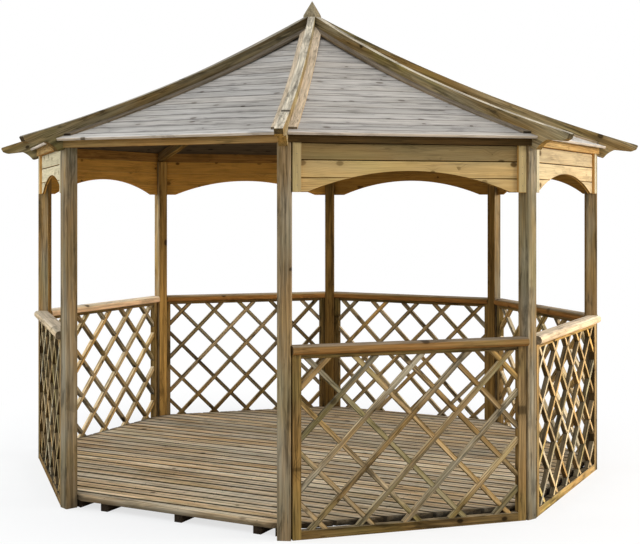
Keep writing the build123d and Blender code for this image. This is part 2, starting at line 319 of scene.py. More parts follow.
def calc(tree, operation, *values, clamp=False):
    return put(tree, "ShaderNodeMath", values, operation=operation, use_clamp=clamp).outputs[0]


def times(tree, first, second):
    return calc(tree, "MULTIPLY", first, second)


def ramp(tree, value, slope, base):
    """value * slope + base."""
    return calc(tree, "MULTIPLY_ADD", value, slope, base)


def join(tree, x, y, z):
    return put(tree, "ShaderNodeCombineXYZ", (x, y, z)).outputs[0]


def split(tree, vector):
    return put(tree, "ShaderNodeSeparateXYZ", (vector,)).outputs


def vector_calc(tree, operation, *values):
    return put(tree, "ShaderNodeVectorMath", values, operation=operation).outputs


def dot(tree, first, second):
    return vector_calc(tree, "DOT_PRODUCT", first, second)["Value"]


def own_place(tree):
    """Where the shaded point lies on the object, in metres."""
    return put(tree, "ShaderNodeTexCoord").outputs["Object"]


def own_normal(tree):
    return put(tree, "ShaderNodeNewGeometry").outputs["Normal"]


def carried(tree, name, output="Fac"):
    """A value that the pieces built here carry on their points."""
    return put(tree, "ShaderNodeAttribute", attribute_name=name).outputs[output]


def span(tree, value, low, high, to_low=0.0, to_high=1.0):
    """Smooth step of value from low..high to to_low..to_high."""
    names = {"Value": value, "From Min": low, "From Max": high, "To Min": to_low, "To Max": to_high}
    return put(tree, "ShaderNodeMapRange", names, interpolation_type="SMOOTHSTEP").outputs[0]


def noise(tree, vector, scale, detail=3.0, roughness=0.55, distortion=0.0):
    names = {"Vector": vector, "Scale": scale, "Detail": detail, "Roughness": roughness}
    names["Distortion"] = distortion
    return put(tree, "ShaderNodeTexNoise", names).outputs[0]


def blend(tree, factor, first, second, kind="MIX"):
    made = tree.nodes.new("ShaderNodeMix")
    made.data_type = "RGBA"
    made.blend_type = kind
    link_in(tree, made.inputs[0], factor)
    link_in(tree, made.inputs[6], first)
    link_in(tree, made.inputs[7], second)
    return made.outputs[2]


def new_group(name, ins, outs, kind="ShaderNodeTree"):
    """An empty node group with named inputs and outputs, and the sockets that stand for them inside."""
    tree = bpy.data.node_groups.new(name, kind)
    for way, sockets in (("INPUT", ins), ("OUTPUT", outs)):
        for label, socket in sockets:
            tree.interface.new_socket(name=label, in_out=way, socket_type=socket)
    source = tree.nodes.new("NodeGroupInput")
    sink = tree.nodes.new("NodeGroupOutput")
    return tree, source.outputs, sink.inputs


def use(tree, group, **values):
    made = tree.nodes.new("ShaderNodeGroup")
    made.node_tree = group
    for key, value in values.items():
        link_in(tree, made.inputs[key.replace("_", " ")], value)
    return made.outputs


NUMBER = "NodeSocketFloat"
VECTOR = "NodeSocketVector"
SHAPE = "NodeSocketGeometry"
MATERIAL = "NodeSocketMaterial"
KNOTS_PER_METRE = (3.4, 7.0, 5.0)  # cells along the grain and across it, each with one knot at most
KNOT_SHAPE = (0.20, 0.143, 0.014)  # from cells to metres, drawn out along the grain and inwards
RAFTER_FALL = math.radians(-23)  # mean slope of the rafters outward


# ---------------------------------------------------------------- shared groups
def around_group():
    """A place in its bay's or corner's own axes (along, outward, up), and the number of that piece."""
    outs = (("Axes", VECTOR), ("Piece", NUMBER), ("Along", VECTOR), ("Outward", VECTOR))
    tree, given, out = new_group("Around The Octagon", (("Half Turn", NUMBER),), outs)
    place = own_place(tree)
    x, y, z = split(tree, place)
    angle = calc(tree, "ARCTAN2", x, times(tree, y, -1.0))
    turns = calc(tree, "SUBTRACT", calc(tree, "DIVIDE", angle, TURN), given[0])
    piece = calc(tree, "ADD", calc(tree, "ROUND", turns), given[0])
    piece = calc(tree, "FLOORED_MODULO", piece, float(SIDES))
    facing = times(tree, piece, TURN)
    c = calc(tree, "COSINE", facing)
    s = calc(tree, "SINE", facing)
    along = calc(tree, "ADD", times(tree, x, c), times(tree, y, s))
    outward = calc(tree, "SUBTRACT", times(tree, x, s), times(tree, y, c))
    tree.links.new(join(tree, along, outward, z), out["Axes"])
    tree.links.new(piece, out["Piece"])
    tree.links.new(join(tree, c, s, 0.0), out["Along"])
    tree.links.new(join(tree, s, times(tree, c, -1.0), 0.0), out["Outward"])
    return tree


def openness_group():
    """How far a face is open to weather: outward and upward faces are, inward ones and soffits aren't."""
    outs = (("Open", NUMBER), ("Top", NUMBER), ("End", NUMBER))
    tree, given, out = new_group("Open To Weather", (("Normal", VECTOR), ("Run", VECTOR)), outs)
    x, y, _ = split(tree, own_place(tree))
    radial = vector_calc(tree, "NORMALIZE", join(tree, x, y, 0.0))[0]
    facing = dot(tree, given["Normal"], radial)
    up = split(tree, given["Normal"])[2]
    reached = calc(tree, "MAXIMUM", span(tree, facing, -0.5, 0.1), span(tree, up, 0.2, 0.6))
    tree.links.new(times(tree, reached, span(tree, up, -0.8, -0.3)), out["Open"])
    tree.links.new(span(tree, up, 0.55, 0.9), out["Top"])
    along = calc(tree, "ABSOLUTE", dot(tree, given["Normal"], given["Run"]))
    tree.links.new(span(tree, along, 0.62, 0.85), out["End"])
    return tree


def softwood_group():
    """Figure of sawn softwood from grain coordinates: x along the grain, y and z across it, in metres."""
    tree, given, out = new_group(
        "Sawn Softwood",
        (("Grain", VECTOR), ("Ring", NUMBER), ("Knots", NUMBER)),
        (("Late Wood", NUMBER), ("Knot", NUMBER), ("Fibre", NUMBER), ("Streak", NUMBER), ("Patch", NUMBER),
         ("Stain", NUMBER), ("Crack", NUMBER), ("Relief", NUMBER)),
    )
    x, y, z = split(tree, given["Grain"])

    def stretched(along, across, salt=0.0):
        run = ramp(tree, x, along, salt)
        return join(tree, run, times(tree, y, across), times(tree, z, across))

    cells = join(tree, *(times(tree, part, often) for part, often in zip((x, y, z), KNOTS_PER_METRE)))
    cell = {"Vector": cells, "Scale": 1.0, "Randomness": 0.9}
    knot_at = put(tree, "ShaderNodeTexVoronoi", cell, feature="F1")
    away = vector_calc(tree, "SUBTRACT", cells, knot_at.outputs["Position"])[0]
    away = vector_calc(tree, "MULTIPLY", away, KNOT_SHAPE)[0]
    near = vector_calc(tree, "LENGTH", away)["Value"]
    pick, size, fade = split(tree, knot_at.outputs["Color"])
    chosen = calc(tree, "LESS_THAN", pick, given["Knots"])
    radius = ramp(tree, size, 0.013, 0.004)
    knot = times(tree, chosen, span(tree, calc(tree, "DIVIDE", near, radius), 0.7, 1.25, 1.0, 0.0))
    knot = times(tree, knot, ramp(tree, fade, 0.5, 0.5))
    halo = times(tree, chosen, span(tree, near, 0.0, 0.05, 1.0, 0.0))
    drift = noise(tree, stretched(1.1, 5.0), 1.0, 2.0)
    bent = ramp(tree, calc(tree, "SUBTRACT", drift, 0.5), 0.10, y)
    bent = ramp(tree, halo, 0.020, bent)
    bent = ramp(tree, z, 0.6, bent)
    wave = calc(tree, "SINE", times(tree, bent, calc(tree, "DIVIDE", 2 * math.pi, given["Ring"])))
    uneven = noise(tree, join(tree, times(tree, x, 0.8), times(tree, bent, 30.0), 0.0), 1.0, 2.0)
    rings = times(tree, span(tree, wave, -0.2, 1.0), span(tree, uneven, 0.30, 0.62))
    fibre = noise(tree, stretched(4.0, 150.0), 1.0, 3.0, 0.6)
    streak = span(tree, noise(tree, stretched(1.6, 58.0, 13.0), 1.0, 3.0, 0.62), 0.40, 0.64)
    split_line = calc(tree, "SUBTRACT", noise(tree, stretched(1.8, 52.0, 57.0), 1.0, 2.0), 0.5)
    crack = span(tree, calc(tree, "ABSOLUTE", split_line), 0.006, 0.026, 1.0, 0.0)
    broken = span(tree, noise(tree, stretched(3.2, 14.0, 71.0), 1.0, 2.0), 0.44, 0.58)
    crack = times(tree, crack, broken)
    patch = span(tree, noise(tree, stretched(1.3, 9.0), 1.0, 4.0, 0.62), 0.32, 0.68)
    stain = span(tree, noise(tree, stretched(4.0, 22.0, 31.0), 1.0, 4.0, 0.66, 0.4), 0.50, 0.68)
    stain = calc(tree, "MAXIMUM", stain, times(tree, halo, 0.55))
    relief = calc(tree, "ADD", times(tree, rings, 0.45), times(tree, fibre, 0.55))
    relief = calc(tree, "SUBTRACT", relief, times(tree, knot, 0.35))
    relief = calc(tree, "SUBTRACT", relief, times(tree, crack, 0.6))
    for socket, value in zip(out, (rings, knot, fibre, streak, patch, stain, crack, relief)):
        tree.links.new(value, socket)
    return tree


around = around_group()
openness = openness_group()
softwood = softwood_group()


def ink(red, green, blue):
    """Linear colour from the usual 0-255 values."""
    linear = []
    for value in (red, green, blue):
        v = value / 255
        linear.append(v / 12.92 if v <= 0.04045 else ((v + 0.055) / 1.055) ** 2.4)
    return (*linear, 1.0)


# ---------------------------------------------------------------- where the grain runs
def own_grain(tree):
    """Pieces built here carry their grain, its direction and their tone with them."""
    grain = carried(tree, "grain", "Vector")
    run = carried(tree, "run", "Vector")
    tone = carried(tree, "tone")
    return grain, tone, run


def piece_tone(tree, piece, salt):
    """One even random value from -1 to 1 for each piece round the octagon."""
    number = calc(tree, "ADD", piece, salt)
    value = put(tree, "ShaderNodeTexWhiteNoise", {"W": number}, noise_dimensions="1D").outputs["Value"]
    return ramp(tree, value, 2.0, -1.0)


def corner_upright(tree):
    """Posts: grain up, piece by piece round the corners."""
    here = use(tree, around, Half_Turn=0.5)
    t, r, z = split(tree, here["Axes"])
    run = calc(tree, "ADD", z, times(tree, here["Piece"], 7.3))
    return join(tree, run, t, r), piece_tone(tree, here["Piece"], 3.0), (0.0, 0.0, 1.0)


def corner_slope(tree):
    """Rafters and their cover strips: grain up the hip."""
    here = use(tree, around, Half_Turn=0.5)
    t, r, z = split(tree, here["Axes"])
    c, s = math.cos(RAFTER_FALL), math.sin(RAFTER_FALL)
    run = calc(tree, "ADD", times(tree, r, c), times(tree, z, s))
    rise = calc(tree, "SUBTRACT", times(tree, z, c), times(tree, r, s))
    side = calc(tree, "ROUND", times(tree, t, 16.0))
    number = calc(tree, "ADD", here["Piece"], times(tree, side, 0.37))
    run = calc(tree, "ADD", run, times(tree, number, 9.1))
    return join(tree, run, rise, t), piece_tone(tree, number, 11.0), here["Outward"]


def bay_level(tree):
    """Handrails and eave plates: grain along the bay."""
    here = use(tree, around, Half_Turn=0.0)
    s, a, z = split(tree, here["Axes"])
    run = calc(tree, "ADD", s, times(tree, here["Piece"], 5.7))
    return join(tree, run, z, a), piece_tone(tree, here["Piece"], 23.0), here["Along"]


def upright_block(tree):
    """King block and finial."""
    x, y, z = split(tree, own_place(tree))
    return join(tree, z, x, y), 0.0, (0.0, 0.0, 1.0)


def joist_run(tree):
    """Joists, which run from the doorway to the back."""
    x, y, z = split(tree, own_place(tree))
    number = calc(tree, "ROUND", times(tree, x, 6.3))
    run = calc(tree, "ADD", y, times(tree, number, 3.3))
    return join(tree, run, x, z), piece_tone(tree, number, 31.0), (0.0, 1.0, 0.0)


# ---------------------------------------------------------------- woods
DRY_SHEEN = 0.04  # dry weathered wood hardly shines


def timber(name, grain_of, early, late, grey, moss, *, crest=None, weather=(0.2, 0.8), green=0.15,
           ring=0.009, knots=0.5, figure=0.5, fibre=0.25, streak=0.25, stain=0.3, crack=0.45, tones=0.16,
           end=0.5, rough=0.8, relief=0.0007, sheltered=0.0, faded=(), extra=None):
    """Weathered softwood.

    early and late are the figure's colours where the wood is sheltered, and figure is its strength.
    grey and moss lie over it in patches where it is open to weather, by the shares in weather and green.
    sheltered is how far the other faces count as open.
    crest is the colour and strength of what lies on upward faces: bleaching by the weather, and a painted
    highlight from light falling from above.
    fibre, streak, stain and crack darken the wood, tones sets its pieces apart and end darkens end grain.
    faded names pieces round the octagon paled towards the crest's colour: half turn, number and share.
    extra takes the tree and the shade so far, and returns the shade to use."""
    made = bpy.data.materials.new(name)
    tree = emptied(made)
    grain, tone, run = grain_of(tree)
    wood = use(tree, softwood, Grain=grain, Ring=ring, Knots=knots)
    facing = own_normal(tree)
    air = use(tree, openness, Normal=facing, Run=run)
    exposed = calc(tree, "MAXIMUM", air["Open"], sheltered)
    figured = times(tree, wood["Late Wood"], figure)
    colour = blend(tree, figured, early, late)
    darker = tuple(0.78 * v for v in grey[:3]) + (1.0,)
    silver = blend(tree, figured, grey, darker)
    worn = ramp(tree, wood["Patch"], weather[1] - weather[0], weather[0])
    worn = times(tree, worn, exposed)
    if grain_of is own_grain:
        age = carried(tree, "worn")
        worn = calc(tree, "MULTIPLY", worn, age, clamp=True)
    colour = blend(tree, worn, colour, silver)
    gx, gy, gz = split(tree, grain)
    damp_at = join(tree, times(tree, gx, 1.9), times(tree, gy, 5.0), gz)
    damp = span(tree, noise(tree, damp_at, 1.0, 3.0), 0.45, 0.75)
    damp = times(tree, times(tree, damp, green), exposed)
    colour = blend(tree, damp, colour, moss)
    # upward faces paled: weathering, and a painted highlight
    if crest:
        colour = blend(tree, times(tree, air["Top"], crest[1]), colour, crest[0])
    for half_turn, number, share in faded:
        colour = blend(tree, times(tree, is_piece(tree, half_turn, number), share), colour, crest[0])
    dark = tuple(0.16 * v for v in late[:3]) + (1.0,)
    colour = blend(tree, times(tree, wood["Knot"], 0.85), colour, dark)
    shade = span(tree, wood["Fibre"], 0.25, 0.75, 1.0 - fibre, 1.0 + fibre)
    marks = (
        (wood["Streak"], -streak, 1.0 + streak * 0.4),
        (wood["Stain"], -stain, 1.0 + stain * 0.15),
        (wood["Crack"], -crack, 1.0),
        (tone, tones, 1.0),
        (air["End"], -end, 1.0),
    )
    for mark, slope, base in marks:
        shade = times(tree, shade, ramp(tree, mark, slope, base))
    if extra is not None:
        shade = extra(tree, shade)
    colour = blend(tree, 1.0, colour, join(tree, shade, shade, shade), "MULTIPLY")
    names = {"Strength": 1.0, "Distance": relief, "Height": wood["Relief"]}
    bump = put(tree, "ShaderNodeBump", names).outputs[0]
    gloss = span(tree, wood["Fibre"], 0.2, 0.8, rough + 0.08, rough - 0.08)
    finish = {"Base Color": colour, "Roughness": gloss, "Normal": bump, "Specular IOR Level": DRY_SHEEN}
    shader = put(tree, "ShaderNodeBsdfPrincipled", finish)
    put(tree, "ShaderNodeOutputMaterial", (shader.outputs[0],))
    return made


def dirt_in_joints(tree, shade):
    """Grooves and board joints hold dark dirt."""
    joint = carried(tree, "joint")
    return times(tree, shade, ramp(tree, joint, -0.92, 1.0))


def damp_foot(tree, shade):
    """Posts are darker where they stand on the ground."""
    z = split(tree, own_place(tree))[2]
    return times(tree, shade, span(tree, z, 0.0, 0.35, 0.72, 1.0))


def is_piece(tree, half_turn, number):
    """1 on one piece round the octagon and 0 elsewhere. half_turn is 0.0 for bays and 0.5 for corners."""
    piece = use(tree, around, Half_Turn=half_turn)["Piece"]
    return calc(tree, "COMPARE", piece, float(number), 0.2)


def slat_edges_painted_light(tree, shade):
    """Painted light and shade on slats: a painted shadow darkens them towards their arrises.

    Their edges carry a painted highlight where they face up and painted shade where they face down, and are
    painted dark as shade in the side bays."""
    across = split(tree, carried(tree, "spot", "Vector"))[1]
    # painted shadow lines darken each slat towards its arrises
    arris_painted_shade = span(tree, calc(tree, "ABSOLUTE", across), SLAT_W * 0.25, SLAT_W * 0.5, 1.08, 0.5)
    outward = use(tree, around, Half_Turn=0.0)["Outward"]
    normal = own_normal(tree)
    edge = span(tree, calc(tree, "ABSOLUTE", dot(tree, normal, outward)), 0.3, 0.9, 1.0, 0.0)
    # painted highlight on edges that face up, painted shade on those that face down
    lit = span(tree, split(tree, normal)[2], -0.5, 0.6, 0.6, 1.4)
    # in the side bays the edges are painted dark as shade
    for number in SIDE_BAYS:
        here = is_piece(tree, 0.0, number)
        lit = ramp(tree, calc(tree, "SUBTRACT", 0.2, lit), here, lit)
    both = calc(tree, "ADD", times(tree, calc(tree, "SUBTRACT", lit, arris_painted_shade), edge), arris_painted_shade)
    return times(tree, shade, both)


def by_piece(half_turn, factors):
    """Makes pieces round the octagon paler or darker than the rest.

    Bays have whole numbers, from the doorway to the right, and corners the halves between them."""
    def shaded(tree, shade):
        for number, factor in factors.items():
            same = is_piece(tree, half_turn, number)
            shade = times(tree, shade, ramp(tree, same, factor - 1.0, 1.0))
        return shade
    return shaded


# posts: each one's tone, and painted shade on the darker ones, most at the back
post_tones_and_shade = by_piece(
    0.5, {0.5: 0.81, 1.5: 0.67, 2.5: 0.63, 3.5: 0.62, 4.5: 0.56, 5.5: 1.20, 6.5: 0.90, 7.5: 0.64},
)
rafter_tones = by_piece(0.5, {0.5: 1.15, 1.5: 1.12, 2.5: 1.1, 3.5: 1.7, 7.5: 0.6})
# cover strips: each one's tone, and painted shadow of the rafter beside it
strip_tones_and_shade = by_piece(0.5, {1.5: 0.4, 2.5: 0.6, 6.5: 0.6, 7.5: 0.3})
rail_tones = by_piece(0.0, {1: 0.53, 2: 1.4, 3: 0.85, 4: 0.82, 5: 0.9, 6: 1.8, 7: 0.98})
# painted shadow of the eave on the front bay's plate, painted light on the right bay's
plate_light_and_shade = by_piece(0.0, {0: 0.98, 1: 0.2, 2: 1.2})


def post_shade(tree, shade):
    return post_tones_and_shade(tree, damp_foot(tree, shade))


def header_shade(tree, shade):
    """Inner faces of the two bays furthest from the light are darker."""
    outward = use(tree, around, Half_Turn=0.0)["Outward"]
    normal = own_normal(tree)
    inner = span(tree, dot(tree, normal, outward), -0.6, -0.2, 1.0, 0.0)
    far = calc(tree, "ADD", is_piece(tree, 0.0, 3), is_piece(tree, 0.0, 4))
    dim = ramp(tree, times(tree, inner, far), -0.45, 1.0)
    return times(tree, dirt_in_joints(tree, shade), dim)


roof_wood = timber(
    "roof_boards_weathered", own_grain,
    ink(252, 218, 174), ink(216, 180, 136), ink(204, 199, 193), ink(168, 156, 132),
    weather=(0.97, 1.0), green=0.2, knots=0.6, figure=0.5, fibre=0.14, streak=0.28, stain=0.42, crack=0.4,
    tones=0.09, extra=dirt_in_joints,
)
header_wood = timber(
    "header_boards", own_grain,
    ink(210, 156, 76), ink(172, 120, 50), ink(178, 158, 114), ink(160, 148, 88),
    weather=(0.68, 0.92), green=0.35, knots=0.9, figure=0.7, fibre=0.12, streak=0.16, stain=0.2, crack=0.25,
    tones=0.12, end=0.2, extra=header_shade,
)
header_greyed = timber(
    "header_boards_greyed", own_grain,
    ink(210, 156, 76), ink(172, 120, 50), ink(190, 178, 148), ink(168, 158, 122),
    weather=(0.85, 1.0), green=0.2, knots=0.7, fibre=0.12, streak=0.16, stain=0.25, crack=0.25, tones=0.12,
    end=0.2, extra=header_shade,
)
post_wood = timber(
    "posts_treated", corner_upright,
    ink(158, 122, 66), ink(114, 84, 40), ink(154, 148, 130), ink(126, 118, 72),
    crest=(ink(164, 156, 142), 0.3), weather=(0.1, 0.9), green=0.5, knots=0.6, streak=0.48, stain=0.5,
    crack=0.4, tones=0.08, faded=((0.5, 0.5, 0.16), (0.5, 7.5, 0.12), (0.5, 2.5, 0.06)), extra=post_shade,
)
rafter_wood = timber(
    "rafters_weathered", corner_slope,
    ink(124, 96, 50), ink(86, 66, 34), ink(148, 140, 114), ink(112, 104, 50),
    crest=(ink(184, 176, 160), 0.8), weather=(0.1, 0.75), green=0.7, knots=0.6, streak=0.55, stain=0.6,
    crack=0.55, tones=0.10, end=0.72, extra=rafter_tones,
)
fillet_wood = timber(
    "cover_strips", corner_slope,
    ink(196, 164, 120), ink(150, 120, 82), ink(200, 184, 162), ink(150, 138, 96),
    crest=(ink(198, 184, 164), 0.6), weather=(0.3, 0.9), green=0.2, knots=0.3, streak=0.3, tones=0.12,
    end=0.8, extra=strip_tones_and_shade,
)
rail_wood = timber(
    "handrails_treated", bay_level,
    ink(170, 120, 64), ink(126, 82, 40), ink(168, 142, 96), ink(138, 126, 66),
    crest=(ink(202, 188, 166), 0.6), weather=(0.2, 0.8), green=0.5, knots=0.7, streak=0.3, stain=0.36,
    crack=0.3, tones=0.05, end=0.72, faded=((0.0, 2, 0.5), (0.0, 6, 0.4), (0.0, 7, 0.5)), extra=rail_tones,
)
plate_wood = timber(
    "eave_plates_treated", bay_level,
    ink(150, 108, 54), ink(108, 76, 36), ink(156, 134, 92), ink(128, 116, 68),
    weather=(0.2, 0.7), green=0.3, knots=0.5, extra=plate_light_and_shade,
)
lattice_wood = timber(
    "lattice_weathered", own_grain,
    ink(156, 120, 62), ink(116, 86, 42), ink(164, 154, 132), ink(134, 126, 72),
    crest=(ink(210, 188, 150), 0.9), weather=(0.2, 1.0), green=0.6, knots=0.9, streak=0.6, stain=0.7,
    crack=0.5, tones=0.24, end=0.4, sheltered=0.7, extra=slat_edges_painted_light,
)
deck_wood = timber(
    "deck_weathered", own_grain,
    ink(206, 168, 116), ink(158, 120, 76), ink(224, 210, 184), ink(170, 156, 110),
    weather=(0.2, 1.0), green=0.3, knots=0.3, figure=0.6, streak=0.42, stain=0.4, crack=0.3, tones=0.2,
    extra=dirt_in_joints,
)
joist_wood = timber(
    "joists_dark", joist_run,
    ink(66, 54, 42), ink(46, 36, 28), ink(74, 64, 54), ink(58, 52, 36), tones=0.1,
)
block_wood = timber(
    "finial_weathered", upright_block,
    ink(120, 104, 78), ink(88, 72, 50), ink(146, 136, 116), ink(118, 108, 72),
    weather=(0.4, 0.9), green=0.4, streak=0.4, end=0.0,
)
nail_steel = bpy.data.materials.new("galvanised_heads")
nail_steel.use_nodes = True
steel = nail_steel.node_tree.nodes["Principled BSDF"]
steel.inputs["Base Color"].default_value = ink(112, 106, 98)
steel.inputs["Metallic"].default_value = 0.7
steel.inputs["Roughness"].default_value = 0.6


def dress(node, material):
    """Gives a piece of the frame its wood."""
    for place in nodes[node].material_slots:
        place.material = material


# ---------------------------------------------------------------- roof boards
def circle_through(p, q, t):
    """Centre and radius of the circle through three points."""
    d = 2 * (p[0] * (q[1] - t[1]) + q[0] * (t[1] - p[1]) + t[0] * (p[1] - q[1]))
    pp, qq, tt = (u[0] ** 2 + u[1] ** 2 for u in (p, q, t))
    x = (pp * (q[1] - t[1]) + qq * (t[1] - p[1]) + tt * (p[1] - q[1])) / d
    y = (pp * (t[0] - q[0]) + qq * (p[0] - t[0]) + tt * (q[0] - p[0])) / d
    return x, y, math.dist((x, y), p)


def roof_curve():
    """Distance out, height and radius of the circle that a roof face's top follows, from its mesh."""
    tops = {}
    for v in nodes["roof_panel_5"].data.vertices:
        key = round(v.co.y, 4)
        tops[key] = max(tops.get(key, 0.0), v.co.z)
    line = sorted((a, z) for a, z in tops.items() if a > 0.2)
    line = [p for p in line if p[0] <= roof_high[1] - 0.0005 or p[1] > roof_low[2] + 0.005]
    return circle_through(line[0], line[len(line) // 2], line[-1])


CURVE = roof_curve()


def curve_angle(a):
    """Angle of the roof's circle at distance out a."""
    return math.asin((a - CURVE[0]) / CURVE[2])


def on_curve(angle):
    """Distance out and height of the roof's top at an angle of its circle."""
    return CURVE[0] + CURVE[2] * math.sin(angle), CURVE[1] - CURVE[2] * math.cos(angle)


def roof_section(length, first, last):
    """Section of a roof board up the slope, as (across, down, dirt), its shared edges cut back."""
    half_gap, deep, ease = 0.003, 0.008, 0.005

    def joint(edge, way):
        """From the board's underside up to its face, at an edge that it shares."""
        face = edge + way * half_gap
        points = [(edge, ROOF_T, 1), (edge, deep, 1), (face, deep, 1), (face, ease, 1)]
        return points + [(face + way * ease, 0.0, 0.3)]

    low = [(0.0, ROOF_T, 0.6), (0.0, 0.002, 0.35), (0.002, 0.0, 0)] if first else joint(0.0, 1)
    high = [(length, ROOF_T, 0), (length, 0.0, 0)] if last else joint(length, -1)
    return low + high[::-1]


def roof_faces():
    """Boards up every roof face, bent to its sweep, with the first one's width of its own on each."""
    start = curve_angle(roof_high[1])
    end = curve_angle(roof_low[1])
    length = (start - end) * CURVE[2]
    first_cuts = {1: 0.018, 2: 0.0}
    narrowest = 0.03
    for number, az in enumerate(BAYS, 1):
        stock = new_stock()
        cut = ROOF_FIRST + (first_cuts[number] if number in first_cuts else draw.uniform(-0.02, 0.02))
        marks = [0.0]
        while cut < length - narrowest:
            marks.append(cut)
            cut += ROOF_COVER
        marks.append(length)
        run = Vector((math.cos(az), math.sin(az), 0))
        for low, high in zip(marks, marks[1:]):
            a0, z0 = on_curve(start - low / CURVE[2])
            a1, z1 = on_curve(start - high / CURVE[2])
            rise = math.hypot(a1 - a0, z1 - z0)
            up = ((a1 - a0) / rise, (z1 - z0) / rise)

            def spot(across, down):
                return a0 + up[0] * across - up[1] * down, z0 + up[1] * across + up[0] * down

            def half(across, down):
                return max(0.001, rafter_side(spot(across, down)[0]) - ROOF_CLEAR)

            def place(x, across, down):
                a, z = spot(across, down)
                return bay_axes(az) @ Vector((x, z, a))

            section = roof_section(rise, low == 0.0, high == length)
            eave_points = 2 if low == 0.0 else 0
            milled_board(stock, section, half, place, run, sheltered=eave_points, youngest=0.95)
        stock_piece(f"roof_boards_{number}", stock, "roof_boards", roof_wood, f"roof_panel_{number}")


# ---------------------------------------------------------------- headers
def arch_points(radius, centre_z, z0, z1, side):
    """Points on the arch between two heights, on one side, from low to high."""
    points = []
    for k in range(ARCH_END_STEPS + 1):
        z = z0 + (z1 - z0) * k / ARCH_END_STEPS
        points.append((side * math.sqrt(max(0.0, radius**2 - (z - centre_z) ** 2)), z))
    return points


HEADER_LIFT = {FRONT_BAY: -1.3, RIGHT_BAY: -0.4, 7: 0.3}  # how much paler a bay's boards are, in tones
HEADER_WORN = {RIGHT_BAY: 0.8, 7: 1.3}
# top boards are darker: their stain, and painted shadow under the eave
TOP_TONE_AND_EAVE_SHADE, MIDDLE_TONE, LEFT_TONE, RIGHT_TONE, BATTEN_TONE = -1.2, 0.4, 0.1, 0.0, -0.2
FRONT_STAIN_AND_EAVE_SHADE = 3.2  # the front bay's top board is this much darker again: stain, and painted shadow of the eave


def headers():
    """Three courses of boards on each bay, the arch cut through them, and a batten at each end."""
    face = HEADER_BACK + HEADER_T
    span_half = post_side(face) - ARCH_SHOULDER
    radius = (span_half**2 + ARCH_RISE**2) / (2 * ARCH_RISE)
    centre = HEADER_FOOT + ARCH_RISE - radius
    out_w, in_w = post_side(face), post_side(HEADER_BACK)
    joint_1 = HEADER_TOP - BOARD_TOP
    joint_2 = joint_1 - BOARD_COVER
    heads = []
    for number, az in enumerate(BAYS[1:], 1):
        stock = new_stock()
        axes = bay_axes(az)
        turned = axes.to_3x3()
        lift = HEADER_LIFT.get(number, 0.0)
        worn = HEADER_WORN.get(number, 1.0)

        def board(shape, tone):
            """A board from its outline, in which "l" and "r" stand for the posts' sides."""
            front = [({"l": -out_w, "r": out_w}.get(x, x), z) for x, z in shape]
            back = [({"l": -in_w, "r": in_w}.get(x, x), z) for x, z in shape]
            # the front bay's top board gets more painted shadow of the eave
            if number == FRONT_BAY and tone < 0:
                tone *= FRONT_STAIN_AND_EAVE_SHADE
            mood = tone + lift + draw.uniform(-0.3, 0.3)
            joint = (0.0026, 0.005)
            prism(stock, axes, front, HEADER_BACK, face, back=back, tone=mood, worn=worn, groove=joint)

        board([("l", joint_1), ("r", joint_1), ("r", HEADER_TOP), ("l", HEADER_TOP)], TOP_TONE_AND_EAVE_SHADE)
        reach = math.sqrt(radius**2 - (joint_2 - centre) ** 2)
        arc = []
        for k in range(ARCH_STEPS + 1):
            x = -reach + 2 * reach * k / ARCH_STEPS
            arc.append((x, centre + math.sqrt(radius**2 - x * x)))
        board([("l", joint_2)] + arc + [("r", joint_2), ("r", joint_1), ("l", joint_1)], MIDDLE_TONE)
        left = arch_points(radius, centre, HEADER_FOOT, joint_2, -1)
        board([("l", HEADER_FOOT)] + left + [("l", joint_2)], LEFT_TONE)
        right = arch_points(radius, centre, HEADER_FOOT, joint_2, 1)
        board([("r", HEADER_FOOT), ("r", joint_2)] + right[::-1], RIGHT_TONE)
        middle = out_w - BATTEN_GAP - BATTEN_W / 2
        nail_rows = (HEADER_FOOT + 0.035, joint_2 + 0.028, joint_1 - 0.028, joint_1 + 0.03)
        for side in (-1, 1):
            x0, x1 = side * middle - BATTEN_W / 2, side * middle + BATTEN_W / 2
            strip = [(x0, HEADER_FOOT), (x1, HEADER_FOOT), (x1, HEADER_TOP), (x0, HEADER_TOP)]
            mood = lift + BATTEN_TONE
            prism(stock, axes, strip, face, header_high[1], order=(1, 0, 2), tone=mood, worn=1.4)
            for z in nail_rows:
                heads.append((axes @ Vector((side * middle, z, header_high[1])), turned @ OUTWARD))
        wood = header_greyed if number in SIDE_BAYS else header_wood
        stock_piece(f"header_boards_{number}", stock, "headers", wood, f"header_panel_{number}")
    return heads


# ---------------------------------------------------------------- lattice
def scattered(tree, given, part, turn, scale=None):
    """A part on every point, as plain mesh."""
    inputs = {"Points": given["Geometry"], "Instance": part, "Rotation": turn, "Scale": scale}
    placed = put(tree, "GeometryNodeInstanceOnPoints", inputs)
    return put(tree, "GeometryNodeRealizeInstances", (placed.outputs[0],)).outputs[0]


def close_tree(tree, given, sink, shape):
    """Gives the shape its material and hands it out."""
    done = put(tree, "GeometryNodeSetMaterial", {"Geometry": shape, "Material": given["Material"]})
    tree.links.new(done.outputs[0], sink[0])
    return tree


def named(tree, name, kind):
    """A value that the points carry, inside a Geometry Nodes tree."""
    made = put(tree, "GeometryNodeInputNamedAttribute", {"Name": name}, data_type=kind)
    return made.outputs["Attribute"]


